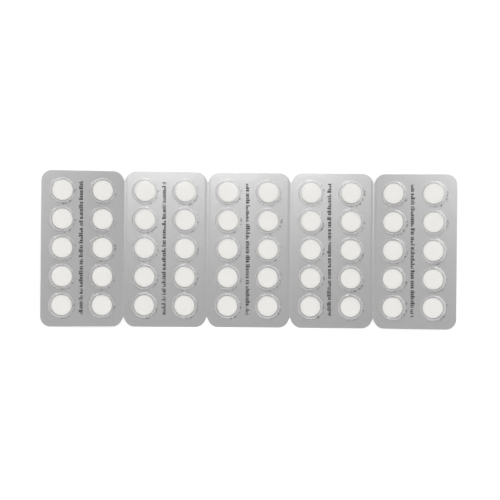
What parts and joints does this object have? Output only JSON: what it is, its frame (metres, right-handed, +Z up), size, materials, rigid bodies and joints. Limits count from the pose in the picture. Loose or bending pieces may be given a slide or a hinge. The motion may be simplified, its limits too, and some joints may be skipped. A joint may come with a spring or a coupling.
{
  "type": "pill blister pack",
  "caption": "Strip of tablet cards joined by perforated tear lines: clear film formed into round pockets, a bevelled tablet in each, heat-sealed to aluminium foil.",
  "frame": {"origin": "middle of the foil's underside, where the middle card lies flat on the table", "axes": "+X along the strip, across the cards; +Y up the cards, towards row 1; +Z up, the way the pockets stand"},
  "size_m": [0.2086, 0.0782, 0.0138],
  "materials": {
    "foil": "satin, heat-sealed with a fine knurl",
    "film": "clear, glossy",
    "tablet": "pressed powder, matt"
  },
  "bodies": {
    "root": {"lidding_foil": "foil", "blister_film": "film", "tablet_card1_left_row1": "tablet", "tablet_card1_left_row2": "tablet", "tablet_card1_left_row3": "tablet", "tablet_card1_left_row4": "tablet", "tablet_card1_left_row5": "tablet", "tablet_card1_right_row1": "tablet", "tablet_card1_right_row2": "tablet", "tablet_card1_right_row3": "tablet", "tablet_card1_right_row4": "tablet", "tablet_card1_right_row5": "tablet", "tablet_card2_left_row1": "tablet", "tablet_card2_left_row2": "tablet", "tablet_card2_left_row3": "tablet", "tablet_card2_left_row4": "tablet", "tablet_card2_left_row5": "tablet", "tablet_card2_right_row1": "tablet", "tablet_card2_right_row2": "tablet", "tablet_card2_right_row3": "tablet", "tablet_card2_right_row4": "tablet", "tablet_card2_right_row5": "tablet", "tablet_card3_left_row1": "tablet", "tablet_card3_left_row2": "tablet", "tablet_card3_left_row3": "tablet", "tablet_card3_left_row4": "tablet", "tablet_card3_left_row5": "tablet", "tablet_card3_right_row1": "tablet", "tablet_card3_right_row2": "tablet", "tablet_card3_right_row3": "tablet", "tablet_card3_right_row4": "tablet", "tablet_card3_right_row5": "tablet", "tablet_card4_left_row1": "tablet", "tablet_card4_left_row2": "tablet", "tablet_card4_left_row3": "tablet", "tablet_card4_left_row4": "tablet", "tablet_card4_left_row5": "tablet", "tablet_card4_right_row1": "tablet", "tablet_card4_right_row2": "tablet", "tablet_card4_right_row3": "tablet", "tablet_card4_right_row4": "tablet", "tablet_card4_right_row5": "tablet", "tablet_card5_left_row1": "tablet", "tablet_card5_left_row2": "tablet", "tablet_card5_left_row3": "tablet", "tablet_card5_left_row4": "tablet", "tablet_card5_left_row5": "tablet", "tablet_card5_right_row1": "tablet", "tablet_card5_right_row2": "tablet", "tablet_card5_right_row3": "tablet", "tablet_card5_right_row4": "tablet", "tablet_card5_right_row5": "tablet"}
  },
  "joints": []
}
